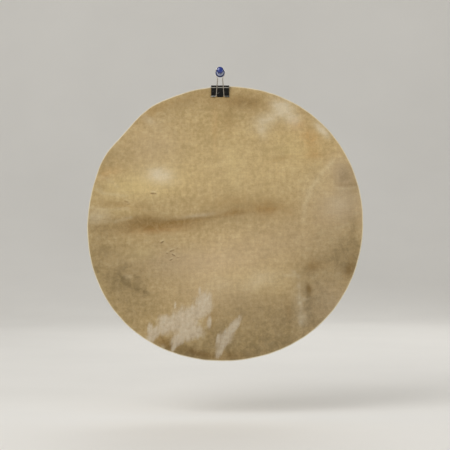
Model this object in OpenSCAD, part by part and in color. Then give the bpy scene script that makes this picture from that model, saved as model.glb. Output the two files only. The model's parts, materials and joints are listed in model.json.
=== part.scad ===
// A round drum skin of dried hide, hung on a wall by a small binder clip and a push pin.
// Millimetres. The origin is where the pin's needle enters the wall, with +Z up and the wall's face
// at Y = 0. All that hangs is in front of the wall, towards -Y.

/* [Drum skin] */
// Mean radius of the skin as it was cut
skin_r = 147.8; // [100:0.1:200]
// Thickness of the dry hide
skin_t = 1.2; // [0.8:0.05:2]
// How far the outline is drawn out along its long diagonal
skin_oval = 1.35; // [0:0.05:4]
// Direction of that diagonal, in degrees from +X
skin_oval_dir = 39; // [0:1:180]
// How far the outline stands out at its four soft corners
skin_square = 0.8; // [0:0.05:3]
// Direction of the first soft corner, in degrees from +X
skin_square_dir = 43; // [0:1:90]
// How far the outline stands out at three of its sides
skin_three = 0.45; // [0:0.05:2]
// Direction of the first of those three sides, in degrees from +X
skin_three_dir = 92; // [0:1:120]
// How deep one flatter stretch of the cut edge is
skin_flat = 1.9; // [0:0.1:4]
// Direction of the flatter stretch, in degrees from +X
skin_flat_dir = 137.5; // [130:0.5:250]
// Angle from the middle of the flatter stretch to the soft corner at each end
skin_flat_half = 18; // [12:1:20]
// Sideways distance from the clip to the middle of the skin
skin_shift = 5.2; // [-10:0.1:10]

/* [Clip] */
// Width of the clip along the edge that it grips
clip_w = 19.2; // [16:0.1:26]
// Height from the barrels' axis to the top of the spine
clip_h = 11.5; // [10:0.1:14]
// Depth of the spine, from front to back
spine_d = 7.8; // [7:0.1:10]
// Thickness of the spring steel
sheet = 0.35; // [0.25:0.01:0.45]
// Outer radius of the two bends
bend_r = 1.2; // [0.8:0.05:1.6]
// How far the middle lip of each jaw reaches below the barrels' axis
lip_drop = 0.9; // [0.5:0.1:1.5]
// Height of the notches beside the lip, above the barrels' axis
notch_h = 1.2; // [0.8:0.1:2]

/* [Wire handles] */
// Diameter of the wire
wire_d = 1; // [0.8:0.05:1.2]
// Length from the barrels' axis to the far end of the loop, to the middle of the wire
handle_len = 30.5; // [28:0.1:38]
// Radius of the loop, to the middle of the wire
loop_r = 5.35; // [5.2:0.05:7]
// Half of the distance between the legs where they are nearest, to the middle of the wire
neck_x = 2.7; // [2.6:0.05:3.5]
// Radius of the curve between the loop and the legs
neck_r = 5; // [3:0.1:8]
// Angle at which each leg runs outwards to its foot
leg_splay = 4.6; // [3:0.1:7]
// Radius of the turn from a leg into its barrel
foot_r = 0.9; // [0.7:0.05:1.2]
// How far the wire's ends stick out of the barrels
stub_out = 0.45; // [0:0.05:1]

/* [Push pin] */
// Angle by which the pin's head is raised above level
pin_tilt = 8; // [0:1:12]
// Diameter of the flange nearest the wall
flange_d = 10.4; // [8:0.1:12]
// Thickness of the flange's rim
flange_rim = 1; // [0.6:0.1:1.6]
// Length of the flange, from its back to the waist
flange_len = 3.6; // [2:0.1:4]
// Diameter of the waist that the loop hangs on
waist_d = 5.6; // [4:0.1:6]
// Length of the waist
waist_len = 5.8; // [4:0.1:7]
// Diameter of the knob
knob_d = 7.4; // [7:0.1:9.4]
// Length of the flare from the waist to the knob
flare_len = 1.4; // [1:0.1:3]
// Length of the knob's rim
knob_len = 1.8; // [1:0.1:3]
// Height and width of the slope round the knob's end
knob_slope = 0.6; // [0.2:0.1:1]
// Diameter of the needle
needle_d = 1.1; // [0.9:0.05:1.3]
// How far the needle's round shank goes into the wall
needle_in = 2.4; // [2:0.1:6]
// Length of the needle's point
point_len = 1.4; // [1:0.1:3]
// Diameter of the needle's thicker root inside the head
root_d = 1.5; // [1.4:0.05:2]
// Length of that root
root_len = 6; // [3:0.1:8]

/* [Clearances] */
// Between the wire and its barrel, all round
bore_gap = 0.06; // [0.03:0.01:0.1]
// Between a jaw and the skin
grip_gap = 0.05; // [0.02:0.01:0.1]
// Angle between a raised handle and the plate that it lies on
lean_gap = 0.5; // [0.2:0.1:2]
// Between the loop and the pin's waist
hang_gap = 0.15; // [0.1:0.01:0.3]
// Between the skin's edge and the spine
edge_gap = 0.2; // [0.1:0.05:0.5]
// Between the back of the spine and the wall
wall_gap = 0.3; // [0.1:0.05:2]
// Between a wire's foot and the end of its barrel
foot_gap = 0.15; // [0.1:0.05:0.4]
// Between the lip and the handle's legs
lip_gap = 0.3; // [0.2:0.05:0.6]

/* [Hidden] */

$fn = 48;
skin_points = 180;
bend_steps = 12;
cut_past = 5;
// Two stretches of wire meet inside a collar that is this much thicker than the wire.
collar_rise = 0.01;
collar_len = 0.16;

// The barrels: rings of the same sheet, rolled round the wire.
wire_r = wire_d / 2;
barrel_in_r = wire_r + bore_gap;
barrel_r = barrel_in_r + sheet;
barrel_mid_r = barrel_r - sheet / 2;
barrel_out = skin_t / 2 + grip_gap + barrel_r;

// A jaw's plate is the straight line that touches the barrel on its inner side and the bend on its
// outer side. Points are [out, up]: the distance from the skin's middle plane, and the height above
// the barrels' axis.
bend_mid_r = bend_r - sheet / 2;
bend_at = [spine_d / 2 - bend_r, clip_h - bend_r];
across = bend_at - [barrel_out, 0];
reach = norm(across);
plate_lean = atan2(across[0], across[1]) + asin((bend_mid_r + barrel_mid_r) / reach);
plate_out = [cos(plate_lean), -sin(plate_lean)];
plate_low = [barrel_out, 0] - barrel_mid_r * plate_out;
plate_high = bend_at + bend_mid_r * plate_out;

// The handle in its own plane, as [sideways, along]. The neck's curve touches the loop and the leg.
loop_at = [0, handle_len - loop_r];
neck_at = [neck_x + neck_r, loop_at[1] - sqrt((loop_r + neck_r) ^ 2 - (neck_x + neck_r) ^ 2)];
neck_dir = atan2(neck_at[1] - loop_at[1], neck_at[0]);
leg_dir = [sin(leg_splay), -cos(leg_splay)];
leg_side = [cos(leg_splay), sin(leg_splay)];
leg_top = neck_at - neck_r * leg_side;
leg_len = (leg_top[1] - foot_r * (1 - sin(leg_splay))) / cos(leg_splay);
leg_foot = leg_top + leg_len * leg_dir;
foot_at = leg_foot + foot_r * leg_side;
stub_len = clip_w / 2 + stub_out - foot_at[0];

// The barrels leave the middle open for the handle's feet, and the lip stands between the legs.
barrel_start = foot_at[0] + foot_gap;
lip_half = leg_foot[0] - wire_r - lip_gap;

// A raised handle lies along its plate, and leans out a little more.
handle_lean = plate_lean + lean_gap;

// The skin's outline: a circle with a slow wave of two, three and four rounds on its radius, and one
// flatter stretch that fades out at twice the angle of its corners.
function skin_flatter(a) = let (away = min(1, abs(a - skin_flat_dir) / (2 * skin_flat_half)))
  skin_flat * cos(360 * away) * cos(90 * away) ^ 2;
function skin_radius(a) = skin_r - skin_flatter(a)
  + skin_oval * cos(2 * (a - skin_oval_dir))
  + skin_three * cos(3 * (a - skin_three_dir))
  + skin_square * cos(4 * (a - skin_square_dir));
skin_edge = [for (i = [0:skin_points - 1]) let (a = 360 * i / skin_points)
  skin_radius(a) * [cos(a), sin(a)]];
skin_top = max([for (p = skin_edge) if (abs(p[0] + skin_shift) < clip_w) p[1]]);

// The spine's profile: up round the back bend, over to the front and down, then back on the inside.
function bend_arc(side, r, from, to) = [for (i = [0:bend_steps])
  let (a = from + (to - from) * i / bend_steps)
  [side * (bend_at[0] + r * cos(a)), bend_at[1] + r * sin(a)]];
spine_edge = concat(
  bend_arc(1, bend_r, -plate_lean, 90), bend_arc(-1, bend_r, 90, -plate_lean),
  bend_arc(-1, bend_r - sheet, -plate_lean, 90), bend_arc(1, bend_r - sheet, 90, -plate_lean)
);

// Places. The clip's frame is on the skin's middle plane, at the height of the barrels' axis.
clip_y = -(spine_d / 2 + wall_gap);
loop_y = clip_y - barrel_out - handle_len * sin(handle_lean);
pin_reach = -loop_y / cos(pin_tilt);
waist_z = pin_reach * sin(pin_tilt);
clip_z = waist_z + waist_d / 2 + hang_gap + wire_r - handle_len * cos(handle_lean);
needle_out = pin_reach - flange_len - waist_len / 2;
skin_z = clip_z + clip_h - sheet - edge_gap - skin_top;

// Turns a profile drawn as [out, up] so that out is +Y and up is +Z, and gives it a width along X.
module across_clip(from, to) {
  translate([from, 0, 0]) rotate([90, 0, 90]) linear_extrude(to - from) children();
}

module both_sides() {
  children();
  mirror([1, 0, 0]) children();
}

// The jaw on the back side: a plate, two barrels at its foot and the lip between them.
module jaw() {
  half = plate_out * sheet / 2;
  difference() {
    across_clip(-clip_w / 2, clip_w / 2)
      polygon([plate_low - half, plate_low + half, plate_high + half, plate_high - half]);
    both_sides() translate([lip_half, 0, -cut_past])
      cube([barrel_start - lip_half, spine_d, cut_past + notch_h]);
  }
  both_sides() across_clip(barrel_start, clip_w / 2) translate([barrel_out, 0]) difference() {
    circle(barrel_r);
    circle(barrel_in_r);
  }
  across_clip(-lip_half, lip_half) translate([skin_t / 2 + grip_gap, -lip_drop])
    square([sheet, lip_drop + plate_low[1] + sheet]);
}

// A stretch of wire round a point in the handle's plane.
module wire_arc(at, r, start, turn) {
  translate([at[0], at[1], 0]) rotate([0, 0, start]) rotate_extrude(angle = turn)
    translate([r, 0]) circle(wire_r, $fn = 24);
}

// A straight stretch of wire in the handle's plane, at an angle from its length.
module wire_line(at, turn, len) {
  translate([at[0], at[1], 0]) rotate([0, 0, turn]) rotate([-90, 0, 0]) cylinder(h = len, r = wire_r);
}

// The collar where two stretches meet, at the same angle as a straight stretch.
module wire_collar(at, turn) {
  translate([at[0], at[1], 0]) rotate([0, 0, turn]) rotate([-90, 0, 0])
    cylinder(h = collar_len, r = wire_r + collar_rise, center = true);
}

module handle() {
  wire_arc(loop_at, loop_r, neck_dir, 180 - 2 * neck_dir);
  both_sides() {
    wire_collar(loop_at + loop_r * [cos(neck_dir), sin(neck_dir)], neck_dir);
    wire_arc(neck_at, neck_r, 180 + neck_dir, leg_splay - neck_dir);
    wire_collar(leg_top, leg_splay);
    wire_line(leg_foot, leg_splay, leg_len);
    wire_collar(leg_foot, leg_splay);
    wire_arc(foot_at, foot_r, 180 + leg_splay, 90 - leg_splay);
    wire_collar([foot_at[0], 0], -90);
    wire_line([foot_at[0], 0], -90, stub_len);
  }
}

module in_clip() {
  translate([0, clip_y, clip_z]) children();
}

// Turns +Z to run out of the wall along the pin.
module along_pin() {
  rotate([90 - pin_tilt, 0, 0]) children();
}

module pin_head() {
  flange_r = flange_d / 2;
  waist_r = waist_d / 2;
  knob_r = knob_d / 2;
  flare_at = flange_len + waist_len;
  knob_at = flare_at + flare_len;
  knob_end = knob_at + knob_len;
  color("royalblue") along_pin() translate([0, 0, needle_out]) difference() {
    rotate_extrude() polygon([
      [0, 0], [flange_r, 0], [flange_r, flange_rim], [waist_r, flange_len], [waist_r, flare_at],
      [knob_r, knob_at], [knob_r, knob_end], [knob_r - knob_slope, knob_end + knob_slope],
      [0, knob_end + knob_slope]
    ]);
    translate([0, 0, -cut_past]) cylinder(h = cut_past + root_len, d = root_d);
  }
}

module pin_needle() {
  needle_r = needle_d / 2;
  root_r = root_d / 2;
  color("silver") along_pin() rotate_extrude() polygon([
    [0, -needle_in - point_len], [needle_r, -needle_in], [needle_r, needle_out],
    [root_r, needle_out], [root_r, needle_out + root_len], [0, needle_out + root_len]
  ]);
}

module front_handle() {
  color("lightgray") in_clip() translate([0, -barrel_out, 0]) rotate([90 + handle_lean, 0, 0]) handle();
}

module back_handle() {
  color("lightgray") in_clip() translate([0, barrel_out, 0]) rotate([-90, 0, 0]) handle();
}

module clip_front_jaw() {
  color("dimgray") in_clip() mirror([0, 1, 0]) jaw();
}

module clip_spine() {
  color("dimgray") in_clip() across_clip(-clip_w / 2, clip_w / 2) polygon(spine_edge);
}

module clip_back_jaw() {
  color("dimgray") in_clip() jaw();
}

module drum_skin() {
  color("burlywood") translate([skin_shift, clip_y + skin_t / 2, skin_z]) rotate([90, 0, 0])
    linear_extrude(skin_t) polygon(skin_edge);
}

pin_head();
pin_needle();
front_handle();
back_handle();
clip_front_jaw();
clip_spine();
clip_back_jaw();
drum_skin();
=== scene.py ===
import json
import math

import bpy
import numpy as np
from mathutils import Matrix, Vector


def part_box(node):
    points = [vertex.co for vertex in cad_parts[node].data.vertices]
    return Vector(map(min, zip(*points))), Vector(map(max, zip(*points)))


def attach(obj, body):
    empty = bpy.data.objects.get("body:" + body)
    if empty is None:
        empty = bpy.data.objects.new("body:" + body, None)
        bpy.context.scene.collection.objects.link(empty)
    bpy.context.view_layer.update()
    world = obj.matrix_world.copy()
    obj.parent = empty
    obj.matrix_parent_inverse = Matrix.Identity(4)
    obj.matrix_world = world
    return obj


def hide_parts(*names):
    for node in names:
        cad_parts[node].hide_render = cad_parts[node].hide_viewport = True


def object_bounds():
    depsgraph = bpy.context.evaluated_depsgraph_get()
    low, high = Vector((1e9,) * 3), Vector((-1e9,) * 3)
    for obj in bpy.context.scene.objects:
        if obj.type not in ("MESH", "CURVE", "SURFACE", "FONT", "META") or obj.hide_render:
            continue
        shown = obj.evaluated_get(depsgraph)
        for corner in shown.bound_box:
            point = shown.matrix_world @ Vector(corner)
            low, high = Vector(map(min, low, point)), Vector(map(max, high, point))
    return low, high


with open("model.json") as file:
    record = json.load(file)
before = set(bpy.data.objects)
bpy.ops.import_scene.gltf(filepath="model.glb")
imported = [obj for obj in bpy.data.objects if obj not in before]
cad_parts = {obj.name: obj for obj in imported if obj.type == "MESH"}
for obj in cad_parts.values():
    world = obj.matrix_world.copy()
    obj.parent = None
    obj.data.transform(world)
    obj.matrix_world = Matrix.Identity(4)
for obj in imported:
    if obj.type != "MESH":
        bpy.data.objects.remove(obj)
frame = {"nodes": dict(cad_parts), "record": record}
cad_low, cad_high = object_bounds()

bl_info = {
    "name": "Drum skin on a clip",
    "version": (1, 0, 0),
    "blender": (4, 5, 0),
    "location": "3D View > Sidebar > Drum skin",
    "description": "Builds a rawhide drum skin that hangs from a spring clip and a push pin",
    "category": "Add Mesh",
}

MM = 0.001
skin_low, skin_high = (np.array(corner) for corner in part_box("drum_skin"))
skin_mid = (skin_low + skin_high) / 2
skin_r = float(skin_high[0] - skin_low[0] + skin_high[2] - skin_low[2]) / 4
skin_t = float(skin_high[1] - skin_low[1])
jaw_low, jaw_high = (np.array(corner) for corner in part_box("clip_front_jaw"))
head_low = np.array(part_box("pin_head")[0])


# ---------------------------------------------------------------- mesh helpers


def linear(digits):
    """A colour given as six hex digits, as the linear red, green, blue and alpha that shaders take."""
    share = np.array([int(digits[i:i + 2], 16) / 255 for i in (0, 2, 4)])
    light = np.where(share <= 0.04045, share / 12.92, ((share + 0.055) / 1.055) ** 2.4)
    return (*light.tolist(), 1.0)


def grid_faces(rows, cols):
    """Quads between neighbouring rows of a grid whose columns close on themselves."""
    i, j = np.meshgrid(np.arange(rows - 1), np.arange(cols), indexing="ij")
    k = (j + 1) % cols
    quads = np.stack([i * cols + j, i * cols + k, (i + 1) * cols + k, (i + 1) * cols + j], -1)
    return quads.reshape(-1, 4)


def pole_faces(first, cols, pole, outward):
    """Triangles from one ring of a grid to the single point that closes it."""
    j = np.arange(cols)
    k = (j + 1) % cols
    ring = (first + k, first + j) if outward else (first + j, first + k)
    return np.stack([*ring, np.full(cols, pole)], -1)


def new_piece(name, points, faces, material, body):
    """A smooth mesh object at the origin from points and lists of faces, riding on a body."""
    mesh = bpy.data.meshes.new(name)
    mesh.from_pydata(points.tolist(), [], [f for part in faces for f in part.tolist()])
    mesh.shade_smooth()
    mesh.materials.append(material)
    piece = bpy.data.objects.new(name, mesh)
    bpy.context.scene.collection.objects.link(piece)
    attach(piece, body)
    return piece


def closed_round(rows):
    """A closed surface from rings of points, with each end ring drawn in to its own middle."""
    count, cols = rows.shape[:2]
    points = np.vstack([rows.reshape(-1, 3), rows[0].mean(0), rows[-1].mean(0)])
    last = (count - 1) * cols
    faces = [
        grid_faces(count, cols),
        pole_faces(0, cols, count * cols, True),
        pole_faces(last, cols, count * cols + 1, False),
    ]
    return points, faces


# ---------------------------------------------------------------- shader helpers


class Maker:
    """Adds nodes to one material. An input that is another node's output is linked, and anything
    else is set on the socket itself."""

    def __init__(self, name):
        self.material = bpy.data.materials.new(name)
        self.material.use_nodes = True
        self.tree = self.material.node_tree
        self.shader = self.tree.nodes["Principled BSDF"]

    def add(self, kind, out=0, sockets=None, **props):
        """Makes a node, fills its inputs, and returns one of its outputs."""
        made = self.tree.nodes.new(kind)
        for key, value in props.items():
            setattr(made, key, value)
        for key, value in (sockets or {}).items():
            self.put(made.inputs[key], value)
        return made.outputs[out]

    def put(self, socket, value):
        """Links an output to an input, or sets a plain value on it."""
        if isinstance(value, bpy.types.NodeSocket):
            self.tree.links.new(value, socket)
        else:
            socket.default_value = value

    def set(self, **sockets):
        """Fills the shader's inputs, whose names are written with _ for each space."""
        for key, value in sockets.items():
            self.put(self.shader.inputs[key.replace("_", " ")], value)

    def place(self, start=(0, 0, 0), turn=0.0, stretch=(1, 1, 1)):
        """Object coordinates in metres from a point, along axes turned anticlockwise as seen from the
        front, with what is drawn on them drawn out along each by its stretch."""
        where = self.add("ShaderNodeTexCoord", "Object")
        return self.add("ShaderNodeMapping", sockets={
            "Vector": where, "Location": tuple(start), "Rotation": (0, -math.radians(turn), 0),
            "Scale": stretch}, vector_type="TEXTURE")

    def oval(self, at, half, turn, core=0.4):
        """1 in the middle of an ellipse on the skin and 0 outside it."""
        start = skin_mid + skin_r * np.array((at[0], 0, at[1]))
        inside = self.place(start, turn, (half[0] * skin_r, 1, half[1] * skin_r))
        flat = self.add("ShaderNodeVectorMath", sockets={0: inside, 1: (1, 0, 1)}, operation="MULTIPLY")
        away = self.add("ShaderNodeVectorMath", "Value", {0: flat}, operation="LENGTH")
        return self.span(away, 1.0, core)

    def noise(self, where, scale, detail=4.0, rough=0.55, bent=0.0):
        """Cloudy noise, with so many lumps to the metre."""
        return self.add("ShaderNodeTexNoise", sockets={
            "Vector": where, "Scale": scale, "Detail": detail, "Roughness": rough, "Distortion": bent})

    def math(self, operation, a, b=0.0, c=0.0, clamp=False):
        """One sum with up to three values."""
        return self.add("ShaderNodeMath", sockets={0: a, 1: b, 2: c}, operation=operation, use_clamp=clamp)

    def product(self, a, b, clamp=False):
        """One value times another."""
        return self.math("MULTIPLY", a, b, clamp=clamp)

    def offset(self, a, b):
        """How far one value is above another."""
        return self.math("SUBTRACT", a, b)

    def span(self, value, low, high, to_low=0.0, to_high=1.0):
        """Takes a value from one range to another, smoothly, and stops it at both ends."""
        return self.add("ShaderNodeMapRange", sockets={
            "Value": value, "From Min": low, "From Max": high, "To Min": to_low, "To Max": to_high},
            interpolation_type="SMOOTHSTEP")

    def total(self, *parts):
        """The sum of several values, each times its own share."""
        value, share = parts[-1]
        added = self.math("MULTIPLY", value, share)
        for value, share in reversed(parts[:-1]):
            added = self.math("MULTIPLY_ADD", value, share, added)
        return added

    def scaled(self, colour, by):
        """A colour made lighter or darker."""
        return self.add("ShaderNodeVectorMath", sockets={0: colour, "Scale": by}, operation="SCALE")

    def mix(self, share, a, b):
        """Colour a where the share is 0, and b where it is 1."""
        made = self.tree.nodes.new("ShaderNodeMix")
        made.data_type = "RGBA"
        first, second, result = 6, 7, 2  # the node's colour sockets, which share their names with others
        self.put(made.inputs["Factor"], share)
        self.put(made.inputs[first], a)
        self.put(made.inputs[second], b)
        return made.outputs[result]

    def ramp(self, value, stops):
        """Colours at places along a value, with even blends between them."""
        made = self.tree.nodes.new("ShaderNodeValToRGB")
        self.put(made.inputs["Fac"], value)
        marks = made.color_ramp.elements
        while len(marks) < len(stops):
            marks.new(0.5)
        for mark, (at, colour) in zip(marks, stops):
            mark.position = at
            mark.color = linear(colour)
        return made.outputs["Color"]

    def field(self, name):
        """One of the numbers that the piece stores for each of its points."""
        return self.add("ShaderNodeAttribute", "Fac", attribute_name=name)

    def bump(self, height, distance, strength, under=None):
        """Relief of a depth in metres, on top of the relief under it."""
        sockets = {"Height": height, "Distance": distance, "Strength": strength}
        if under is not None:
            sockets["Normal"] = under
        return self.add("ShaderNodeBump", sockets=sockets)


# ---------------------------------------------------------------- the skin's shape and marks


def spot(u, v, at, size, turn=0.0):
    """How far each point is from the middle of a leaning ellipse, where 1 is on its edge."""
    a = math.radians(turn)
    along = (u - at[0]) * math.cos(a) + (v - at[1]) * math.sin(a)
    side = (v - at[1]) * math.cos(a) - (u - at[0]) * math.sin(a)
    return np.hypot(along / size[0], side / size[1])


def dabs(u, v, marks):
    """Soft round dabs that add up: strength times the bell curve of the distance from each middle."""
    return sum(strength * np.exp(-spot(u, v, at, size, turn) ** 2) for at, size, turn, strength in marks)


def patches(u, v, marks):
    """One field for several hard-edged patches: 1 in the middle of the nearest, 0 on its edge."""
    return np.max([1 - spot(u, v, at, size, turn) for at, size, turn in marks], axis=0)


def stroke(u, v, points, width):
    """A thin line through a few points: the bell curve of the distance from its nearest stretch."""
    best = np.full(np.shape(u), np.inf)
    for (au, av), (bu, bv) in zip(points, points[1:]):
        du, dv = bu - au, bv - av
        t = np.clip(((u - au) * du + (v - av) * dv) / (du * du + dv * dv), 0, 1)
        best = np.minimum(best, np.hypot(u - au - t * du, v - av - t * dv))
    return np.exp(-(best / width) ** 2)


# Places and sizes on the skin are in shares of its radius, from its middle: right, up.
RAW = [  # bare patches where the grain was scraped through: place, half sizes, turn
    ((-0.290, -0.715), (0.125, 0.115), 50), ((-0.240, -0.790), (0.095, 0.060), 20),
    ((-0.160, -0.590), (0.105, 0.070), 82), ((-0.215, -0.650), (0.080, 0.070), 60),
    ((-0.430, -0.735), (0.080, 0.070), 70), ((-0.370, -0.740), (0.080, 0.050), 10),
    ((-0.515, -0.800), (0.090, 0.036), 58), ((-0.540, -0.768), (0.052, 0.022), 84),
    ((-0.335, -0.835), (0.065, 0.045), 60), ((-0.364, -0.880), (0.060, 0.016), 62),
    ((-0.182, -0.490), (0.040, 0.012), 85), ((-0.361, -0.590), (0.035, 0.007), 86),
    ((-0.114, -0.715), (0.050, 0.020), 88),
    ((0.000, -0.840), (0.100, 0.050), 58), ((0.062, -0.748), (0.105, 0.030), 56),
    ((-0.040, -0.920), (0.080, 0.026), 68), ((-0.050, -0.840), (0.045, 0.012), 88),
]
HAZE = [  # pale, feathery places, soft at the edge: place, half sizes, turn, strength
    ((0.442, 0.815), (0.100, 0.058), -42, 1.75), ((0.300, 0.750), (0.090, 0.055), 30, 0.85),
    ((0.270, 0.680), (0.035, 0.070), 10, 0.45), ((0.705, 0.680), (0.070, 0.026), -48, 1.20),
    ((-0.560, 0.755), (0.06, 0.025), -35, 0.65), ((-0.475, 0.350), (0.10, 0.058), -8, 1.0),
    ((-0.930, 0.055), (0.09, 0.045), 10, 0.55), ((0.545, -0.54), (0.045, 0.15), 4, 0.26),
    ((0.541, -0.485), (0.012, 0.050), 0, 0.3), ((0.552, -0.610), (0.010, 0.050), -6, 0.3),
    ((0.500, -0.350), (0.020, 0.009), -30, 0.6), ((0.535, -0.385), (0.012, 0.012), 0, 0.6),
    ((0.534, -0.450), (0.011, 0.016), 0, 0.7), ((0.540, -0.536), (0.012, 0.012), 0, 0.7),
    ((0.541, -0.574), (0.012, 0.010), 0, 0.7), ((0.572, -0.543), (0.012, 0.010), 0, 0.6),
    ((0.548, -0.715), (0.014, 0.014), 0, 0.6),
    ((0.475, -0.375), (0.050, 0.009), 4, 0.4), ((0.590, -0.550), (0.030, 0.008), 20, 0.4),
    ((0.560, -0.690), (0.04, 0.06), 0, 0.45), ((-0.18, 0.060), (0.14, 0.016), 7, 0.45),
    ((-0.020, -0.440), (0.12, 0.05), 5, 0.22), ((0.30, -0.39), (0.14, 0.06), 0, 0.38),
    ((0.830, 0.150), (0.16, 0.09), 0, 0.28), ((0.18, -0.45), (0.08, 0.05), 30, 0.25),
    ((0.660, 0.290), (0.07, 0.12), -35, 0.22), ((-0.451, -0.899), (0.012, 0.020), 0, 0.7),
    ((-0.705, -0.385), (0.034, 0.018), -10, 0.24),
]
CREAM = [  # warm, light places
    ((-0.74, 0.26), (0.22, 0.09), 5, 0.55), ((0.20, -0.41), (0.30, 0.12), -4, 0.30),
    ((-0.80, 0.09), (0.14, 0.03), -5, 0.40), ((-0.60, -0.22), (0.12, 0.05), 0, 0.45),
    ((-0.50, 0.31), (0.20, 0.14), 0, 0.45), ((0.20, 0.30), (0.40, 0.25), 0, 0.22),
    ((-0.10, 0.50), (0.55, 0.25), 10, 0.22), ((-0.94, -0.45), (0.05, 0.30), 20, 0.35),
    ((0.06, 0.42), (0.05, 0.16), 3, 0.30), ((0.52, 0.52), (0.16, 0.12), -20, 0.35),
]
BROWN = [  # the line along the beast's back, and other brown stains
    ((-0.58, 0.000), (0.36, 0.045), 4, 0.58), ((-0.60, 0.040), (0.09, 0.028), 3, 0.60),
    ((-0.30, 0.022), (0.22, 0.030), 7, 0.55), ((0.07, 0.080), (0.16, 0.024), 7, 0.85),
    ((0.36, 0.105), (0.15, 0.060), 4, 0.55), ((0.10, 0.150), (0.20, 0.060), 0, 0.45),
    ((-0.48, -0.028), (0.26, 0.036), 3, 0.55), ((0.62, 0.600), (0.050, 0.085), 12, 0.34),
    ((-0.86, 0.150), (0.12, 0.016), -6, 0.22), ((-0.51, 0.820), (0.12, 0.035), 34, 0.60),
    ((-0.44, -0.865), (0.08, 0.040), -28, 1.0), ((0.00, -0.955), (0.16, 0.030), 0, 0.75),
    ((-0.25, -0.925), (0.15, 0.030), -14, 0.8), ((0.42, 0.475), (0.08, 0.018), 8, 0.40),
    ((0.02, 0.74), (0.05, 0.12), 0, 0.30), ((0.63, -0.305), (0.055, 0.045), 0, 0.55),
    ((0.610, -0.478), (0.024, 0.045), 4, 1.0), ((0.905, -0.325), (0.036, 0.090), -22, 0.80),
    ((0.72, -0.30), (0.09, 0.035), 0, 0.35), ((-0.76, 0.115), (0.22, 0.030), 2, 0.30),
    ((0.46, -0.62), (0.025, 0.10), 2, 0.35),
    ((0.13, 0.880), (0.22, 0.055), -6, 0.60), ((-0.30, 0.90), (0.18, 0.05), 14, 0.35),
    ((0.64, 0.48), (0.10, 0.05), 10, 0.30), ((-0.10, -0.70), (0.035, 0.10), 0, 0.35),
]
ORANGE = [  # rusty tints
    ((0.615, 0.630), (0.060, 0.075), 20, 0.36), ((0.517, 0.730), (0.045, 0.050), -30, 0.60),
    ((0.640, 0.500), (0.050, 0.030), 0, 0.28), ((-0.640, 0.790), (0.12, 0.030), 42, 0.45),
    ((-0.860, 0.360), (0.10, 0.035), 20, 0.35), ((0.300, 0.110), (0.06, 0.05), 0, 0.18),
    ((-0.070, 0.690), (0.020, 0.15), 0, 0.25), ((-0.480, -0.045), (0.22, 0.030), 4, 0.35),
]
SOIL = [  # grey-green, greasy-looking stains
    ((-0.700, -0.320), (0.045, 0.024), 20, 0.85), ((-0.643, -0.365), (0.026, 0.044), 15, 0.95),
    ((-0.758, -0.385), (0.050, 0.034), 15, 0.85), ((-0.690, -0.448), (0.055, 0.026), -25, 0.85),
    ((-0.605, -0.490), (0.052, 0.022), -12, 0.95), ((-0.93, -0.33), (0.03, 0.05), 0, 0.45),
    ((-0.90, -0.20), (0.045, 0.045), 0, 0.60), ((-0.80, -0.42), (0.20, 0.16), 0, 0.12),
    ((0.80, -0.217), (0.035, 0.045), 0, 0.60), ((0.86, -0.16), (0.06, 0.050), 0, 0.30),
    ((0.93, -0.05), (0.04, 0.150), 5, 0.60), ((0.82, -0.27), (0.08, 0.05), 0, 0.30),
    ((0.600, -0.500), (0.02, 0.09), 0, 0.35), ((0.86, 0.34), (0.05, 0.090), 25, 0.55),
    ((0.15, 0.865), (0.07, 0.030), 5, 0.35), ((0.09, -0.645), (0.05, 0.050), 0, 0.40),
    ((-0.84, 0.47), (0.07, 0.050), 30, 0.60), ((-0.60, 0.035), (0.12, 0.016), -4, 0.35),
    ((-0.30, 0.86), (0.08, 0.04), 15, 0.20), ((0.31, -0.90), (0.25, 0.05), 12, 0.30),
    ((0.60, -0.60), (0.03, 0.12), 6, 0.30),
]
COOL = [  # greyer and pinker, where the hide is thick
    ((0.84, 0.12), (0.20, 0.13), 0, 0.85), ((0.72, -0.58), (0.22, 0.20), 30, 0.40),
    ((0.30, -0.65), (0.4, 0.18), 0, 0.15), ((-0.52, 0.55), (0.22, 0.20), 0, 0.45),
    ((-0.35, -0.28), (0.35, 0.12), 0, 0.55),
    ((0.50, -0.10), (0.5, 0.2), 0, 0.45), ((0.85, 0.36), (0.09, 0.13), 20, 1.0),
    ((0.80, -0.55), (0.15, 0.2), 0, 0.3), ((0.05, -0.25), (0.35, 0.15), 0, 0.45),
    ((-0.10, -0.50), (0.40, 0.15), 0, 0.45), ((0.10, 0.35), (0.60, 0.25), 0, 0.15),
]
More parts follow.
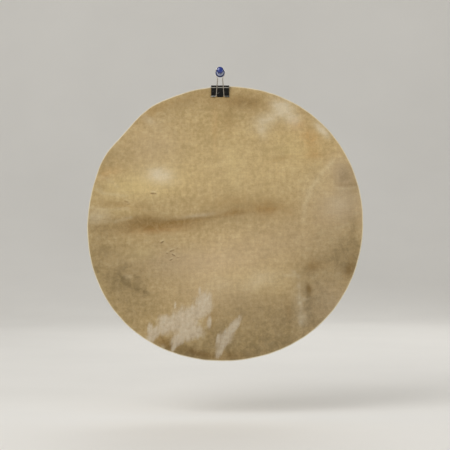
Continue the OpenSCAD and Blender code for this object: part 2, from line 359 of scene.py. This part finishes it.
SHADE = [  # painted light and shade together with the hide's own broad tone: broad lighter and darker parts, in stops, mostly darker low down and towards the edges
    ((-0.50, 0.31), (0.26, 0.12), 0, 0.22), ((0.25, 0.52), (0.65, 0.32), 0, 0.06),
    ((-0.54, 0.000), (0.40, 0.066), 3, -0.36), ((0.10, 0.07), (0.30, 0.08), 5, -0.22),
    ((-0.93, 0.00), (0.10, 0.15), 0, -0.18), ((-0.88, -0.24), (0.24, 0.24), 0, -0.42),
    ((-0.77, -0.42), (0.18, 0.14), 0, -0.30), ((-0.45, -0.28), (0.22, 0.25), 0, -0.24),
    ((-0.02, -0.28), (0.33, 0.20), 0, 0.22), ((0.85, -0.22), (0.20, 0.24), 0, -0.50),
    ((0.92, -0.30), (0.09, 0.15), -15, -0.46), ((0.94, 0.30), (0.14, 0.18), 0, -0.35),
    ((0.62, -0.42), (0.13, 0.22), 0, -0.44), ((0.45, -0.75), (0.42, 0.22), 10, -0.58),
    ((0.00, -0.98), (0.75, 0.20), 0, -0.62), ((-0.05, -0.80), (0.12, 0.12), 0, -0.35),
    ((0.10, -0.60), (0.25, 0.12), 0, -0.22), ((-0.32, -0.93), (0.16, 0.06), -15, -0.62),
    ((0.13, 0.89), (0.16, 0.07), 0, -0.25), ((-0.66, -0.62), (0.18, 0.16), 0, -0.36),
    ((0.72, -0.62), (0.20, 0.15), 30, -0.22), ((-0.25, 0.90), (0.18, 0.08), 14, -0.18),
    ((0.64, 0.58), (0.24, 0.12), -20, 0.20), ((-0.25, 0.38), (0.14, 0.14), 0, 0.12),
    ((0.28, 0.42), (0.12, 0.12), 0, 0.10), ((-0.90, 0.28), (0.12, 0.10), 0, -0.16),
    ((-0.46, 0.15), (0.16, 0.05), 0, -0.14), ((0.20, 0.76), (0.14, 0.06), 0, -0.10),
    ((-0.75, 0.50), (0.10, 0.20), 20, -0.10), ((-0.45, 0.76), (0.12, 0.06), 20, -0.12),
]
CREASES = [  # lines where the wet hide was folded: points, half width, strength (dark below 0)
    ([(0.78, 0.45), (0.673, 0.33), (0.613, 0.234), (0.577, 0.137), (0.565, 0.02)], 0.018, 0.24),
    ([(0.80, 0.43), (0.797, 0.27)], 0.008, -0.16),
    ([(0.80, 0.262), (0.88, 0.252), (0.97, 0.272)], 0.010, 0.26),
    ([(0.82, 0.282), (0.90, 0.276), (0.96, 0.290)], 0.012, -0.22),
    ([(-0.97, 0.36), (-0.86, 0.33), (-0.78, 0.27)], 0.012, 0.20),
    ([(-0.97, 0.18), (-0.84, 0.15), (-0.72, 0.155)], 0.012, -0.16),
    ([(-0.98, 0.28), (-0.88, 0.22), (-0.72, 0.20)], 0.012, 0.26),
    ([(-0.97, 0.31), (-0.88, 0.26)], 0.009, -0.22), ([(-0.98, 0.24), (-0.90, 0.20)], 0.008, -0.22),
    ([(-0.98, 0.12), (-0.86, 0.10), (-0.70, 0.11)], 0.012, 0.30),
    ([(-0.98, 0.01), (-0.80, 0.015), (-0.68, 0.045)], 0.012, 0.24),
    ([(0.02, 0.05), (-0.20, 0.045), (-0.36, 0.028)], 0.008, -0.20),
]
SCARS = [  # small dark nicks: place, half sizes, turn, strength
    ((-0.520, 0.219), (0.030, 0.009), -4, 0.80), ((-0.457, -0.135), (0.022, 0.008), 30, 0.75),
    ((-0.385, -0.196), (0.024, 0.007), 22, 0.80), ((-0.373, -0.228), (0.022, 0.007), -30, 0.75),
    ((-0.391, -0.262), (0.018, 0.007), 25, 0.60), ((-0.715, 0.160), (0.026, 0.008), -22, 0.45),
    ((-0.700, 0.142), (0.018, 0.006), 12, 0.35), ((-0.420, -0.215), (0.010, 0.006), 0, 0.60),
    ((-0.350, -0.180), (0.014, 0.006), 35, 0.35), ((-0.340, -0.245), (0.016, 0.006), 10, 0.35),
]
# The soft marks by the name of the field that holds them on the piece.
DABS = {
    "haze": HAZE, "cream": CREAM, "brown": BROWN, "orange": ORANGE, "soil": SOIL, "cool": COOL,
    "shade": SHADE}
TINTS = [  # fields that tint the ground: name, colour, most of it, and whether it breaks up
    ("cream", "c6b27d", 0.65, False), ("cool", "af9a7c", 0.75, False),
    ("brown", "88652c", 0.66, True), ("orange", "b98544", 0.55, True),
]


def swell(u, v):
    """How far the slack skin stands out from flat, in millimetres: long waves that cross each other,
    a shallow trough along the back line, and a rim that curls forward low down on the right."""
    waves = 1.1 * np.sin(2.3 * u + 0.9 * v + 0.7) * np.cos(1.7 * v - 0.6)
    waves = waves + 0.7 * np.sin(3.9 * v + 1.1 * u + 0.4) + 0.35 * np.sin(5.2 * u - 2.6 * v + 1.0)
    line = 0.02 + 0.10 * (u + 0.35)
    trough = -0.7 * np.exp(-((v - line) / 0.07) ** 2) * (1 - np.clip(u, 0, 1))
    radius, turn = np.hypot(u, v), np.arctan2(v, u)
    curl = 2.6 * radius ** 6 * np.clip(np.cos(turn + 0.7), 0, 1) ** 2
    lobes = 0.8 * radius ** 5 * np.sin(5 * turn + 0.8)
    return waves + trough + curl + lobes


def held_flat(x, z):
    """0 inside the jaws and 1 well away from them, so that the skin is flat where it is gripped."""
    grip = np.array([(jaw_low[0] + jaw_high[0]) / 2, jaw_low[2]])
    gripped, blend = 18 * MM, 75 * MM
    t = np.clip((np.hypot(x - grip[0], z - grip[1]) - gripped) / blend, 0, 1)
    return t * t * (3 - 2 * t)


def outline(turns):
    """The cut edge's radius at each angle, read off the flat skin of the frame."""
    points = np.array([p.co for p in frame["nodes"]["drum_skin"].data.vertices])
    x, z = points[:, 0] - skin_mid[0], points[:, 2] - skin_mid[2]
    at, radius = np.arctan2(z, x), np.hypot(x, z)
    order = np.argsort(at)
    return np.interp(turns, at[order], radius[order], period=2 * math.pi)


def skin_rows(cols, front_rings, back_rings):
    """Rings of points from the middle of the front, over the rounded cut edge, to the middle of the
    back. Each ring is the outline shrunk towards the middle, and lies on the waves, half a thickness
    in front of them or behind. The knife's small wobble only ever cuts inwards."""
    turns = np.linspace(2 * math.pi, 0, cols, endpoint=False)
    wobble = 0.16 + 0.07 * np.sin(23 * turns + 1) + 0.05 * np.sin(41 * turns) + 0.04 * np.sin(67 * turns)
    rim = outline(turns) - wobble * MM
    corner = 0.35 * MM
    bow = np.linspace(0, math.pi, 7)
    margin = 1.5 * MM
    inset = np.concatenate([
        margin + (1 - np.linspace(0, 1, front_rings)[1:]) * (skin_r - margin), [1.0 * MM, 0.6 * MM],
        corner * (1 - np.sin(bow)), [0.7 * MM, 1.2 * MM],
        (1 - np.linspace(1, 0, back_rings + 1)[1:-1]) * skin_r])
    half = skin_t / 2
    side = np.concatenate([
        np.full(front_rings + 1, half), half * np.cos(bow), np.full(back_rings + 1, -half)])
    share = np.clip(1 - inset[:, None] / skin_r, 0.002, 1)
    x = skin_mid[0] + share * rim * np.cos(turns)
    z = skin_mid[2] + share * rim * np.sin(turns)
    u, v = (x - skin_mid[0]) / skin_r, (z - skin_mid[2]) / skin_r
    thin = 1 - 0.10 * (1 + np.sin(9 * u + 4 * v) * np.cos(7 * v - 3 * u)) * held_flat(x, z) / 2
    y = skin_mid[1] - swell(u, v) * MM * held_flat(x, z) - side[:, None] * thin
    return np.stack([x, y, z], -1), u, v, side, inset


def give_field(piece, name, values):
    """Stores one number for each point, for the material to read."""
    piece.data.attributes.new(name, "FLOAT", "POINT").data.foreach_set("value", values.astype(np.float32))


class Hide(Maker):
    """Dried hide. What its colour and its relief share is made first, and each method then lays one
    kind of mark over the colour that it is given."""

    def __init__(self, looks):
        super().__init__("rawhide")
        self.looks = looks
        self.flat = self.place(skin_mid)
        self.mottle = self.noise(self.flat, 55, 7, 0.62, 0.5)
        self.fine = self.noise(self.flat, 240, 5, 0.6)
        self.blotch = self.noise(self.flat, 95, 6, 0.65, 0.8)
        self.fibres = self.noise(self.place(skin_mid, 5, (2.5, 1, 0.6)), 90, 6, 0.65, 0.6)
        self.hairs = self.noise(self.place(skin_mid, 75, (1.8, 1, 0.7)), 2400, 3, 0.65)
        self.pores = self.add("ShaderNodeTexVoronoi", "Distance", {"Vector": self.flat, "Scale": 900.0})
        self.patchy = self.total((self.fine, 0.35), (self.blotch, 0.65))
        self.breakup = self.span(self.patchy, 0.40, 0.60, 0.60, 1.20)
        self.back = self.field("flesh_side")
        self.front = self.offset(1.0, self.product(self.back, 0.8))
        self.haze = self.pale_share()
        self.torn, self.bare = self.bare_share()

    def pale_share(self):
        """How pale each place is, drawn out into feathers along the fibres."""
        feather = self.math("MULTIPLY_ADD", self.offset(self.fibres, 0.5), 0.7, self.offset(self.mottle, 0.5))
        return self.product(self.field("haze"), self.span(feather, -0.22, 0.30, 0.45, 1.25), clamp=True)

    def bare_share(self):
        """The noise that tears the bare patches' edges, and how bare each place is."""
        torn = self.noise(self.place(skin_mid, 78, (2.6, 1, 0.55)), 80, 7, 0.70, 0.2)
        inside = self.math("MULTIPLY_ADD", self.offset(torn, 0.5), 1.7, self.field("raw"))
        worn = self.product(self.front, self.span(inside, 0.0, 0.50, 0.50, 0.94))
        return torn, self.product(self.span(inside, -0.22, 0.26), worn)

    def ground(self):
        """The plain hide's mottled tan."""
        cloud = self.noise(self.flat, 13, 5, 0.6, 0.9)
        tone = self.total((self.mottle, 0.20), (self.fine, 0.50), (cloud, 0.30))
        return self.ramp(tone, [
            (0.34, "998357"), (0.44, self.looks.skin_dark), (0.50, self.looks.skin_mid),
            (0.56, self.looks.skin_light), (0.66, "c4af84")])

    def stained(self, colour):
        """Warm and cool tints, grey-green grease, and fibres a little darker than the ground."""
        for name, tint, most, broken in TINTS:
            share = self.product(self.field(name), most, clamp=True)
            if broken:
                share = self.product(share, self.breakup, clamp=True)
            colour = self.mix(share, colour, linear(tint))
        greasy = self.span(self.patchy, 0.42, 0.58, 0.35, 1.30)
        soil = self.product(self.product(self.field("soil"), 0.62), greasy, clamp=True)
        colour = self.mix(soil, colour, linear("796540"))
        return self.mix(self.span(self.fibres, 0.35, 0.70, 0.0, 0.10), colour, linear("8a744b"))

    def scraped(self, colour):
        """Pale haze, and the bare patches over it."""
        colour = self.mix(self.product(self.haze, 0.85), colour, linear(self.looks.skin_haze))
        tone = self.ramp(self.total((self.fine, 0.6), (self.torn, 0.4)), [
            (0.36, "ae9e84"), (0.50, self.looks.skin_raw), (0.64, "c0b49c")])
        return self.mix(self.bare, colour, tone)

    def creased(self, colour):
        """Light and dark lines where the wet hide was folded."""
        crease = self.product(self.product(self.field("crease"), self.front), self.breakup)
        colour = self.mix(self.math("MAXIMUM", crease, 0.0), colour, linear("cbbb98"))
        return self.mix(self.math("MAXIMUM", self.product(crease, -1.0), 0.0), colour, linear("7c6238"))

    def nicked(self, colour):
        """Small dark nicks, each with a light lip above it."""
        for at, half, turn, much in SCARS:
            here = self.product(self.front, self.oval(at, half, turn))
            nick = self.product(here, self.span(self.fine, 0.35, 0.55, 0.4 * much, 0.9 * much))
            colour = self.mix(nick, colour, linear("62492e"))
            above = (at[0], at[1] + 1.6 * half[1])
            lip = self.product(self.oval(above, half, turn), 0.4 * much)
            colour = self.mix(lip, colour, linear("d0c09c"))
        return colour

    def pored(self, colour):
        """Dark pores here and there, and the paler flesh side at the back."""
        specks = self.span(self.pores, 0.06, 0.18, 0.20, 0.0)
        specks = self.product(specks, self.span(self.mottle, 0.40, 0.60))
        colour = self.mix(specks, colour, linear("6f5c3c"))
        return self.mix(self.product(self.back, 0.45), colour, linear("bba983"))

    def toothed(self, colour):
        """Fine grit, crossed fibres and short hair roots, lighter and darker than what is under them."""
        grit = self.offset(self.noise(self.flat, 620, 2, 0.5), 0.5)
        down = self.noise(self.place(skin_mid, 2, (4, 1, 0.4)), 150, 3, 0.6)
        across = self.noise(self.place(skin_mid, 1, (0.4, 1, 4)), 150, 3, 0.6)
        weave = self.offset(self.math("ADD", down, across), 1.0)
        tooth = self.total((self.offset(self.hairs, 0.5), 0.60), (grit, 0.22), (weave, 0.20))
        return self.scaled(colour, self.math("ADD", tooth, 1.0))

    def shaded(self, colour):
        """Painted light and shade together with the hide's own broad tone: the broad lighter and darker
        parts, in stops, weaker where the hide is pale or bare.
        """
        stops = self.product(self.field("shade"), self.span(self.blotch, 0.38, 0.62, 0.62, 0.92))
        veil = self.math("MAXIMUM", self.bare, self.product(self.haze, 0.7))
        stops = self.product(stops, self.math("MULTIPLY_ADD", veil, -0.6, 1.0))
        return self.scaled(colour, self.math("POWER", 2.0, stops))

    def edged(self, colour):
        """The cut edge: paler in itself, and lighter still as a painted highlight where the edge catches the
        light.
        """
        # rim: the edge's own paler tone together with its painted highlight
        rim = self.product(self.field("pale_edge_and_painted_highlight"), self.span(self.mottle, 0.25, 0.60, 0.65, 1.0))
        return self.mix(rim, colour, linear("d4cab0"))

    def relief(self):
        """Low swells along the fibres, a net of fine wrinkles, and a grain of pores and hairs."""
        wrinkle = self.add("ShaderNodeTexVoronoi", "Distance", {
            "Vector": self.place(skin_mid, 5, (1.5, 1, 0.7)), "Scale": 170.0, "Randomness": 1.0},
            feature="DISTANCE_TO_EDGE")
        grain = self.total((self.hairs, 0.6), (self.pores, 0.35), (self.noise(self.flat, 700, 3, 0.6), 0.65))
        grain = self.math("ADD", grain, self.product(self.back, self.fine))
        low = self.bump(self.math("MULTIPLY_ADD", self.fibres, 0.5, self.mottle), 0.6 * MM, 0.55)
        mid = self.bump(self.span(wrinkle, 0.0, 0.16), 0.10 * MM, 0.45, low)
        return self.bump(grain, 0.12 * MM, 0.7, mid)


def rawhide(looks):
    """Dried hide: mottled tan with stains, bare patches, creases, nicks, pores and fine fibres."""
    m = Hide(looks)
    colour = m.ground()
    for laid in (m.stained, m.scraped, m.creased, m.nicked, m.pored, m.toothed, m.shaded, m.edged):
        colour = laid(colour)
    rough = m.math("MULTIPLY_ADD", m.mottle, 0.18, m.math("MULTIPLY_ADD", m.bare, 0.16, 0.50), clamp=True)
    m.set(Base_Color=colour, Roughness=rough, Normal=m.relief())
    m.set(Specular_IOR_Level=0.18, Subsurface_Weight=0.06, Subsurface_Scale=0.002)
    m.set(Subsurface_Radius=(1.0, 0.8, 0.6))
    return m.material


# ---------------------------------------------------------------- clip, wires and pin


# The push pin's head, from its flange's back: where each part ends, and the radii.
flange_edge = 0.9 * MM
flange_end = 3.6 * MM
waist_end = 9.4 * MM
knob_start = 10.8 * MM
waist_r = 2.8 * MM
knob_r = 3.7 * MM
dome_rise = 1.7 * MM


def black_enamel(looks):
    """Black enamel on spring steel, a little orange-peeled and scratched, with painted highlights of grey
    metal along the top bend and on the rolled barrels.
    """
    m = Maker("black_enamel")
    middle = (jaw_low + jaw_high) / 2
    here = m.place((middle[0], skin_mid[1], jaw_high[2]))
    peel = m.noise(here, 2600, 3, 0.6)
    enamel_noise = m.noise(here, 700, 6, 0.7, 0.4)
    upright = m.add("ShaderNodeSeparateXYZ", "Z", {0: here})
    sideways = m.add("ShaderNodeSeparateXYZ", "X", {0: here})
    # Painted highlight: a thin line of bright metal where the top bend catches the light.
    line = m.span(m.math("ABSOLUTE", m.math("ADD", upright, looks.highlight_line)), 0.50 * MM, 0.22 * MM)
    line = m.product(line, m.span(enamel_noise, 0.36, 0.56, 0.55, 1.0))
    # Painted highlight on the rolled barrels outside the wires, brighter on the left than on the right.
    outer = m.product(
        m.span(m.math("ABSOLUTE", sideways), 3.6 * MM, 5.0 * MM), m.span(sideways, -6 * MM, 6 * MM, 1.0, 0.5))
    rolled = jaw_low[2] - jaw_high[2] + 0.9 * MM
    barrel = m.math("ABSOLUTE", m.offset(upright, rolled))
    foot = m.product(m.span(barrel, 0.60 * MM, 0.25 * MM), outer)
    foot = m.product(foot, m.span(enamel_noise, 0.38, 0.56, 0.25, 1.0))
    # The two painted highlights together; the real scratches join them below.
    worn = m.math("MAXIMUM", line, foot)
    scratches = m.span(m.noise(m.place(middle, 20, (6, 1, 0.4)), 900, 2, 0.5), 0.66, 0.72, 0.0, 0.25)
    worn = m.math("MAXIMUM", worn, scratches)
    tone = m.ramp(enamel_noise, [(0.35, "060605"), (0.6, looks.enamel), (0.75, "15140f")])
    m.set(Base_Color=m.mix(worn, tone, linear("b0ada4")), Metallic=m.product(worn, 0.9))
    m.set(Roughness=m.span(enamel_noise, 0.3, 0.7, 0.24, 0.42), Specular_IOR_Level=0.18)
    m.set(Normal=m.bump(peel, 0.03 * MM, 0.5))
    return m.material


def plated_wire(looks):
    """Nickel-plated wire: bright, with fine drawn lines, dull specks, a warm tarnish and a painted highlight
    round the pin's loop.
    """
    m = Maker("plated_wire")
    here = m.place()
    lines = m.noise(m.place(stretch=(1, 1, 20)), 5200, 3, 0.6)
    dull = m.noise(here, 1800, 5, 0.65)
    tone = m.ramp(dull, [(0.32, "857c71"), (0.52, looks.wire), (0.7, "b9b2a6")])
    upright = m.add("ShaderNodeSeparateXYZ", "Z", {0: m.place((0, 0, head_low[2]))})
    # Painted highlight: the wire turns near-white along the loop round the pin, where it catches the light.
    painted_highlight = m.product(m.span(upright, -2.0 * MM, 1.0 * MM), m.span(dull, 0.35, 0.55, 0.6, 1.0))
    m.set(Base_Color=m.mix(painted_highlight, tone, linear("f0eee8")), Metallic=1.0)
    m.set(Roughness=m.span(dull, 0.3, 0.7, 0.16, 0.32))
    m.set(Normal=m.bump(lines, 0.015 * MM, 0.4))
    return m.material


def needle_steel():
    """Hard-drawn steel with faint turning marks across it."""
    m = Maker("needle_steel")
    rings = m.noise(m.place(stretch=(10, 1, 10)), 4200, 3, 0.6)
    dull = m.noise(m.place(), 1200, 4, 0.6)
    m.set(Base_Color=m.ramp(dull, [(0.35, "7c7a76"), (0.65, "b5b3ae")]), Metallic=1.0)
    m.set(Roughness=m.span(dull, 0.3, 0.7, 0.16, 0.30), Normal=m.bump(rings, 0.02 * MM, 0.4))
    return m.material


def clear_blue(looks, axis, foot, length):
    """Blue moulded plastic with faint flow marks and handling scuffs, with painted shade at the
    flange's rim and under the knob, and a painted highlight over the flange's hollow."""
    m = Maker("clear_blue_plastic")
    here = m.place(head_low)
    flow = m.noise(here, 260, 4, 0.6, 1.2)
    scuff = m.noise(here, 2400, 5, 0.7)
    tone = m.ramp(flow, [(0.30, "182f7c"), (0.50, looks.pin), (0.72, "3554b4")])
    along = m.add("ShaderNodeVectorMath", "Value", {0: m.place(), 1: tuple(axis)}, operation="DOT_PRODUCT")
    out = m.offset(along, foot)
    # Painted shade: dark navy at the flange's rim.
    rim = m.span(out, 2.1 * MM, 1.6 * MM, 0.0, 0.92)
    # Painted highlight: pale blue-white over the flange's hollow.
    hollow = m.product(m.span(out, 1.7 * MM, 2.1 * MM), m.span(out, 5.0 * MM, flange_end, 0.0, 0.75))
    end = length - 0.5 * MM
    # Painted shade: dark navy from the end of the waist over the flare and the knob's side.
    under = m.product(
        m.span(out, waist_end - 0.2 * MM, waist_end + 0.4 * MM), m.span(out, end, end - 0.6 * MM, 0.0, 0.92))
    tone = m.mix(rim, tone, linear("0e1c4e"))
    tone = m.mix(hollow, tone, linear("d6def2"))
    tone = m.mix(under, tone, linear("0c1a50"))
    m.set(Base_Color=tone, Roughness=m.span(scuff, 0.45, 0.70, 0.05, 0.16))
    m.set(Transmission_Weight=0.25, IOR=1.5, Coat_Weight=0.6, Coat_Roughness=0.04)
    m.set(Specular_IOR_Level=0.35)
    m.set(Normal=m.bump(flow, 0.05 * MM, 0.25))
    return m.material


def lathe(profile, foot, axis, cols):
    """Rings of points round a line from its foot: each row of the profile is a distance along the
    line and a radius, carried round in a full circle."""
    side = np.cross(axis, (1.0, 0.0, 0.0))
    side /= np.linalg.norm(side)
    other = np.cross(axis, side)
    turns = np.linspace(0, 2 * math.pi, cols, endpoint=False)
    ring = np.cos(turns)[:, None] * side + np.sin(turns)[:, None] * other
    return foot + profile[:, :1, None] * axis + profile[:, 1:, None] * ring


# ---------------------------------------------------------------- settings


def size(name, description, default, **more):
    """A setting that is a number."""
    return bpy.props.FloatProperty(name=name, description=description, default=default, **more)


def hexes(name, description, default):
    """A setting that is a colour, as six hex digits."""
    return bpy.props.StringProperty(name=name, description=description, default=default, maxlen=6)


class SkinSettings(bpy.types.PropertyGroup):
    columns: bpy.props.IntProperty(
        name="Columns", description="Points round the skin", default=480, min=60)
    front_rings: bpy.props.IntProperty(
        name="Front rings", description="Rings from the middle of the front to the edge", default=146, min=20)
    back_rings: bpy.props.IntProperty(
        name="Back rings", description="Rings from the edge to the middle of the back", default=44, min=20)
    skin_dark: hexes("Dark tan", "The skin's darker ground colour", "a48d61")
    skin_mid: hexes("Tan", "The skin's ground colour", "ae966a")
    skin_light: hexes("Light tan", "The skin's lighter ground colour", "b59e72")
    skin_haze: hexes("Haze", "The feathery pale places", "c5b79b")
    skin_raw: hexes("Bare patches", "The bare, scraped places", "bbab92")


class HardwareSettings(bpy.types.PropertyGroup):
    enamel: hexes("Enamel", "The clip's black enamel", "0b0a08")
    wire: hexes("Wire", "The handles' plating", "a69e92")
    # Where the painted highlight line runs along the clip's top bend.
    highlight_line: size("Highlight line", "From the clip's top down to the rubbed line", 0.0009, unit="LENGTH")
    pin: hexes("Pin", "The push pin's plastic", "1d368c")
    pin_columns: bpy.props.IntProperty(
        name="Pin columns", description="Points round the pin's head", default=72, min=24)


class StageSettings(bpy.types.PropertyGroup):
    view_width: size("View width", "Width that the camera takes in at the skin", 0.48, unit="LENGTH")
    distance: size("Distance", "From the camera to the skin", 1.6, unit="LENGTH")
    drop: size("Floor drop", "From the skin's lowest point to the floor", 0.06, unit="LENGTH")
    key_power: size("Key light", "Power of the large light above, to the left", 27.0, unit="POWER")
    fill_power: size("Fill light", "Power of the light from the right", 6.0, unit="POWER")
    sky: size("Surround", "Strength of the even surrounding light", 0.50)


# ---------------------------------------------------------------- operators


class DRUM_OT_skin(bpy.types.Operator):
    """Make the drum skin"""

    bl_idname = "drum.skin"
    bl_label = "Drum skin"

    def execute(self, context):
        looks = context.scene.drum_skin
        rows, u, v, side, inset = skin_rows(looks.columns, looks.front_rings, looks.back_rings)
        points, faces = closed_round(rows)
        piece = new_piece("rawhide_skin", points, faces, rawhide(looks), "skin")
        at = [np.append(a.ravel(), [a[0].mean(), a[-1].mean()]) for a in (u, v)]
        depth = np.append(np.repeat(side / (skin_t / 2), rows.shape[1]), [1.0, -1.0])
        for name, marks in DABS.items():
            give_field(piece, name, dabs(*at, marks))
        give_field(piece, "raw", patches(*at, RAW))
        give_field(piece, "crease", sum(much * stroke(*at, line, half) for line, half, much in CREASES))
        give_field(piece, "flesh_side", np.clip(-depth, 0, 1) * (depth < -0.5))
        # The margin by the cut edge that takes its paler tone and painted highlight.
        from_edge = np.append(np.repeat(inset, rows.shape[1]), [skin_r, skin_r])
        edge, fade = 1.1 * MM, 0.5 * MM
        give_field(piece, "pale_edge_and_painted_highlight", np.clip((edge - from_edge) / fade, 0, 1))
        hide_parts("drum_skin")
        cut_r = outline(np.linspace(0, 2 * math.pi, 720, endpoint=False))
        return {"FINISHED"}


class DRUM_OT_clip(bpy.types.Operator):
    """Finish the clip's three steel panels and its two wire handles"""

    bl_idname = "drum.clip"
    bl_label = "Spring clip"

    def execute(self, context):
        looks = context.scene.drum_hardware
        enamel, wire = black_enamel(looks), plated_wire(looks)
        for node in ("clip_front_jaw", "clip_spine", "clip_back_jaw"):
            dress(node, enamel)
        for node in ("front_handle", "back_handle"):
            dress(node, wire)
        return {"FINISHED"}


def dress(node, material):
    """Gives one CAD node a finish."""
    piece = frame["nodes"][node]
    piece.data.materials.clear()
    piece.data.materials.append(material)


class DRUM_OT_pin(bpy.types.Operator):
    """Make the push pin's head and finish its needle"""

    bl_idname = "drum.pin"
    bl_label = "Push pin"

    def execute(self, context):
        looks = context.scene.drum_hardware
        dress("pin_needle", needle_steel())
        mount = frame["record"]["mounts"][0]
        axis = -np.array(mount["axis"], float)
        points = np.array([p.co for p in frame["nodes"]["pin_head"].data.vertices])
        along = points @ axis
        foot, length = float(along.min()), float(along.max() - along.min())
        radius = np.linalg.norm(points - along[:, None] * axis, axis=1)
        rows = lathe(self.profile(length, float(radius.max())), axis * foot, axis, looks.pin_columns)
        plastic = clear_blue(looks, axis, foot, length)
        head = new_piece("blue_pin_head", *closed_round(rows), plastic, "pin")
        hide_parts("pin_head")
        return {"FINISHED"}

    @staticmethod
    def profile(length, wide):
        """Distance along the head and radius there: a thin flange with a round rim, a hollow sweep
        down to the waist and out again, and a knob with a softly domed end."""
        lip, rim_r = 0.5 * MM, 0.4 * MM
        bow = np.linspace(0, math.pi / 2, 7)
        end = np.linspace(0, 1.50, 22)
        t = np.linspace(0, 1, 15)
        ease = t * t * (3 - 2 * t)
        neck = np.linspace(0.1, 1, 6) * (waist_end - flange_end - 0.1 * MM)
        parts = [
            [(0, wide * 0.30), (0, wide * 0.90)],
            [(lip * (1 - math.cos(a)), wide - rim_r * (1 - math.sin(a))) for a in bow],
            zip(flange_edge + t * (flange_end - flange_edge), wide - (wide - waist_r) * (1 - (1 - t) ** 2)),
            zip(flange_end + neck, np.full(6, waist_r)),
            zip(waist_end + t * (knob_start - waist_end), waist_r + (knob_r - waist_r) * ease),
            [(length - 2.0 * MM, knob_r)],
            [(length - dome_rise * (1 - math.sin(a)), knob_r * math.cos(a)) for a in end],
        ]
        return np.array([p for part in parts for p in part])


class DRUM_OT_stage(bpy.types.Operator):
    """Make the floor, the lights and the camera"""

    bl_idname = "drum.stage"
    bl_label = "Stage"

    def execute(self, context):
        looks = context.scene.drum_stage
        scene = context.scene
        scene.view_settings.view_transform = "Standard"
        self.floor(looks)
        self.light("key", (-1.1, -1.5, 1.25), 1.3, looks.key_power)
        self.light("fill", (1.5, -1.3, 0.2), 1.2, looks.fill_power)
        self.light("rear", (0.4, 1.3, 0.9), 1.2, looks.fill_power)
        scene.world = self.surround(looks.sky)
        lens = bpy.data.cameras.new("view")
        lens.lens = lens.sensor_width * looks.distance / looks.view_width
        camera = bpy.data.objects.new("view", lens)
        camera.location = skin_mid + np.array((0.0, -looks.distance, -1.4 * MM))
        camera.rotation_euler = (math.pi / 2, 0, 0)
        scene.collection.objects.link(camera)
        scene.camera = camera
        return {"FINISHED"}

    @staticmethod
    def surround(strength):
        """An even, slightly warm light from all round."""
        world = bpy.data.worlds.new("surround")
        world.use_nodes = True
        sky = world.node_tree.nodes["Background"]
        sky.inputs["Color"].default_value = (1.0, 0.985, 0.96, 1.0)
        sky.inputs["Strength"].default_value = strength
        return world

    @staticmethod
    def light(name, at, width, power):
        """A square soft light that faces the skin."""
        lamp = bpy.data.lights.new(name, "AREA")
        lamp.size = width
        lamp.energy = power
        piece = bpy.data.objects.new(name, lamp)
        piece.location = np.array(at) + skin_mid
        piece.rotation_euler = (Vector(skin_mid) - piece.location).to_track_quat("-Z", "Y").to_euler()
        bpy.context.scene.collection.objects.link(piece)

    @staticmethod
    def floor(looks):
        """A pale floor that sweeps up far behind: flat, then a quarter circle, then upright."""
        level = float(cad_low[2]) - looks.drop
        front, bend, radius, top, half_width = -4.0, 1.6, 1.2, 4.0, 5.0
        bow = np.linspace(0, math.pi / 2, 25)
        y = np.concatenate([[front], bend + radius * np.sin(bow), [bend + radius]])
        z = np.concatenate([[level], level + radius * (1 - np.cos(bow)), [level + top]])
        points = np.array([(x, b, c) for b, c in zip(y, z) for x in (-half_width, half_width)])
        i = np.arange(len(y) - 1) * 2
        faces = np.stack([i, i + 1, i + 3, i + 2], -1)
        mesh = bpy.data.meshes.new("floor")
        mesh.from_pydata(points.tolist(), [], faces.tolist())
        mesh.shade_smooth()
        m = Maker("pale_floor")
        soft = m.noise(m.place(), 3, 3)
        m.set(Base_Color=m.ramp(soft, [(0.3, "e6e4df"), (0.7, "ebe9e4")]), Roughness=0.8)
        mesh.materials.append(m.material)
        piece = bpy.data.objects.new("floor", mesh)
        bpy.context.scene.collection.objects.link(piece)


class DRUM_PT_panel(bpy.types.Panel):
    """Lists the drum skin's pieces and their settings"""

    bl_idname = "DRUM_PT_panel"
    bl_label = "Drum skin"
    bl_space_type = "VIEW_3D"
    bl_region_type = "UI"
    bl_category = "Drum skin"

    def draw(self, context):
        scene = context.scene
        for operator, settings in (
            (DRUM_OT_skin, scene.drum_skin), (DRUM_OT_clip, scene.drum_hardware),
            (DRUM_OT_pin, scene.drum_hardware), (DRUM_OT_stage, scene.drum_stage),
        ):
            box = self.layout.box()
            box.operator(operator.bl_idname)
            for name in settings.__annotations__:
                box.prop(settings, name)


SETTINGS = {"drum_skin": SkinSettings, "drum_hardware": HardwareSettings, "drum_stage": StageSettings}
CLASSES = (*SETTINGS.values(), DRUM_OT_skin, DRUM_OT_clip, DRUM_OT_pin, DRUM_OT_stage, DRUM_PT_panel)


def register():
    for cls in CLASSES:
        bpy.utils.register_class(cls)
    for name, group in SETTINGS.items():
        setattr(bpy.types.Scene, name, bpy.props.PointerProperty(type=group))


def unregister():
    for name in SETTINGS:
        delattr(bpy.types.Scene, name)
    for cls in reversed(CLASSES):
        bpy.utils.unregister_class(cls)


def main():
    register()
    bpy.ops.drum.skin()
    bpy.ops.drum.clip()
    bpy.ops.drum.pin()
    bpy.ops.drum.stage()


if __name__ == "__main__":
    main()
